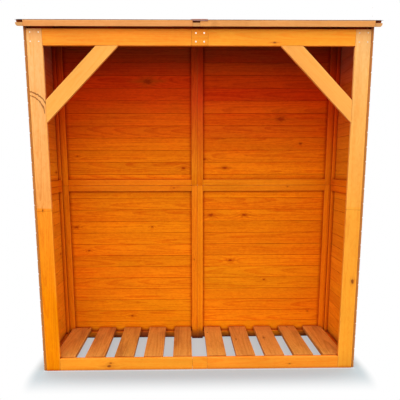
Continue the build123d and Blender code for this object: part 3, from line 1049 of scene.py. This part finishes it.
def frame_screws():
    """Four screws in the header's centre piece, and four in the head of each post."""
    screws = Heads("frame_screws")
    low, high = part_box("header_centre")
    middle = (low.x + high.x) / 2
    for x in (middle - 21 * MM, middle + 23 * MM):
        for z in (high.z - 21 * MM, high.z - 64 * MM):
            screws.screw(Vector((x, low.y, z)), -Y)
    for side in SIDES:
        low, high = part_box(f"front_post_{side}")
        for x in (low.x + 20 * MM, high.x - 18 * MM):
            for z in (high.z - 18 * MM, high.z - 64 * MM):
                screws.screw(Vector((x, low.y, z)), -Y, 3.4 * MM)
    screws.finish("frame_wood")


def wall_nails():
    """Two nails through each board into each stile, on the outside of the back and of the sides."""
    nails = Heads("wall_nails")
    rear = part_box("back_boards_lower_left")[1].y
    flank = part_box("side_boards_lower_right")[1].x
    for level in LEVELS:
        low, high = (corner.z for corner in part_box(f"back_boards_{level}_left"))
        for side in SIDES:
            for points in solids(f"back_stiles_{level}_{side}"):
                middle = sum(p.x for p in points) / len(points)
                nail_column(nails, Vector((middle, rear, 0)), Y, X, low, high)
        for points in solids(f"side_stiles_{level}"):
            middle = sum(p.y for p in points) / len(points)
            outward = X if points[0].x > 0 else -X
            nail_column(nails, Vector((outward.x * flank, middle, 0)), outward, Y, low, high)
    nails.finish("wall_boards")


def nail_column(nails, foot, out, aside, low, high):
    """Nails up one stile, two to each board."""
    first = math.floor((low - LOWEST_JOINT) / WALL_COVER)
    last = math.ceil((high - LOWEST_JOINT) / WALL_COVER)
    for n in range(first, last):
        for share in (0.3, 0.7):
            z = LOWEST_JOINT + WALL_COVER * (n + share) + dice.uniform(-3, 3) * MM
            if low + 8 * MM < z < high - 8 * MM:
                slip = aside * dice.uniform(-4, 4) * MM
                nails.nail(Vector((foot.x, foot.y, z)) + slip, out, 1.7 * MM)


def felt_nails():
    """Clout nails round the edges of each sheet of felt."""
    nails = Heads("felt_nails")
    inset, pitch = 14 * MM, 75 * MM

    def spread(start, stop):
        return [start + inset + pitch * n for n in range(int((stop - start - 2 * inset) / pitch) + 1)]

    for side in SIDES:
        low, high = extent(solids(f"roof_felt_{side}")[0], FALL)
        spots = [(u, v) for u in spread(low[0], high[0]) for v in (low[1] + inset, high[1] - inset)]
        spots += [(u, v) for v in spread(low[1], high[1]) for u in (low[0] + inset, high[0] - inset)]
        for u, v in spots:
            u, v = u + dice.uniform(-3, 3) * MM, v + dice.uniform(-3, 3) * MM
            nails.nail(FALL.place(u, v, low[2] + 0.6 * MM), OFF_ROOF, 4.0 * MM)
    nails.finish("roof_felt")


# ---------- stage, light and camera
SHADOW_FROM, SHADOW_BY = 0.06, 0.30  # metres in front of the walls between which the shadow turns to white
SIDEWAYS = 3.2  # times sooner beside them
UNDER_STORE = 0.02  # metres over which the floor changes at the edge of the store
SHADED_INSIDE, SHADED_OUTSIDE = 0.55, 0.85  # how much of the floor's own colour shows
FLOOR_COLOUR = (0.43, 0.51, 0.54, 1)
FLOOR_BOUNCE = (0.22, 0.21, 0.20, 1)  # what the floor lends to the wood
FLOOR_HALF = 40.0
FLOOR_LEVEL = -0.5 * MM
SKY_COLOUR, SKY = (0.96, 0.98, 1, 1), 1.5
WHITE = (1, 1, 1, 1)


def stage():
    """A pale floor that keeps the shadow near the store and is pure white further off."""
    n = Nodes(bpy.data.materials.new("floor_white"))
    x, y, _ = n.split(n.node("ShaderNodeNewGeometry").outputs["Position"])
    right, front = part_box("side_boards_lower_right")[1].x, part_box("sill_left")[0].y
    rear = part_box("back_boards_lower_left")[1].y
    beyond_x = n.math("MAXIMUM", n.minus(n.math("ABSOLUTE", x), right), 0.0)
    beyond_y = n.math("MAXIMUM", n.minus(front, y), n.minus(y, rear))
    beyond_y = n.math("MAXIMUM", beyond_y, 0.0)
    off = n.vector("LENGTH", n.join(n.times(beyond_x, SIDEWAYS), beyond_y, 0.0))
    near = n.ramp(off, SHADOW_FROM, SHADOW_BY, SHADED_OUTSIDE, 0.0)
    near = n.times(near, n.ramp(off, 0.0, UNDER_STORE, SHADED_INSIDE / SHADED_OUTSIDE, 1.0))
    shaded = n.node("ShaderNodeBsdfDiffuse", Color=FLOOR_COLOUR)
    white = n.node("ShaderNodeEmission", Color=WHITE, Strength=1.0)
    bounce = n.node("ShaderNodeBsdfDiffuse", Color=FLOOR_BOUNCE)
    mixed = n.blend(n.seen_directly(), bounce, n.blend(near, white, shaded))
    n.node("ShaderNodeOutputMaterial", Surface=mixed.outputs[0])
    mesh = bpy.data.meshes.new("floor_plane")
    signs = ((-1, -1), (1, -1), (1, 1), (-1, 1))
    corners = [(across * FLOOR_HALF, along * FLOOR_HALF, FLOOR_LEVEL) for across, along in signs]
    mesh.from_pydata(corners, [], [(0, 1, 2, 3)])
    mesh.materials.append(n.owner)
    plane = bpy.data.objects.new("floor_plane", mesh)
    bpy.context.scene.collection.objects.link(plane)


def world():
    """An even, overcast sky, plain white where it is seen."""
    made = bpy.data.worlds.new("soft_white")
    bpy.context.scene.world = made
    n = Nodes(made)
    sky = n.node("ShaderNodeBackground", Color=SKY_COLOUR, Strength=SKY)
    white = n.node("ShaderNodeBackground", Color=WHITE, Strength=1.0)
    mixed = n.blend(n.seen_directly(), sky, white)
    n.node("ShaderNodeOutputWorld", Surface=mixed.outputs[0])


def key_light():
    """One large, weak lamp in front."""
    data = bpy.data.lights.new("key", "AREA")
    data.shape = "RECTANGLE"
    data.size, data.size_y = 3.6, 2.6
    data.energy = 40
    lamp = bpy.data.objects.new("key", data)
    at, target = Vector((-0.6, -4.6, 2.4)), Z
    lamp.location = at
    lamp.rotation_mode = "QUATERNION"
    lamp.rotation_quaternion = (target - at).to_track_quat("-Z", "Y")
    bpy.context.scene.collection.objects.link(lamp)


def camera():
    """The photo's view, fitted: a hand-held height, a little left of the middle, looking slightly down."""
    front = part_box("front_post_left")[0].y
    pitch, yaw, roll = math.radians(9.787), math.radians(1.038), math.radians(-0.154)
    forward = Vector((math.cos(pitch) * math.sin(yaw), math.cos(pitch) * math.cos(yaw), -math.sin(pitch)))
    right = Vector((math.cos(yaw), -math.sin(yaw), 0))
    up = right.cross(forward)
    turn = Matrix.Rotation(-roll, 3, forward)
    axes = Matrix((turn @ right, turn @ up, -forward)).transposed()
    data = bpy.data.cameras.new("camera")
    data.sensor_width = 36
    data.lens = 40.69
    data.shift_x, data.shift_y = 0.0182, 0.1066
    view = bpy.data.objects.new("camera", data)
    view.matrix_world = Matrix.Translation((-0.0865, front - 2.536, 1.207)) @ axes.to_4x4()
    bpy.context.scene.collection.objects.link(view)
    bpy.context.scene.camera = view


front_frame()
floor()
wall_battens()
back_wall()
side_walls()
roof()
frame_screws()
wall_nails()
felt_nails()
stage()
world()
key_light()
camera()

bpy.context.scene.view_settings.view_transform = "Standard"
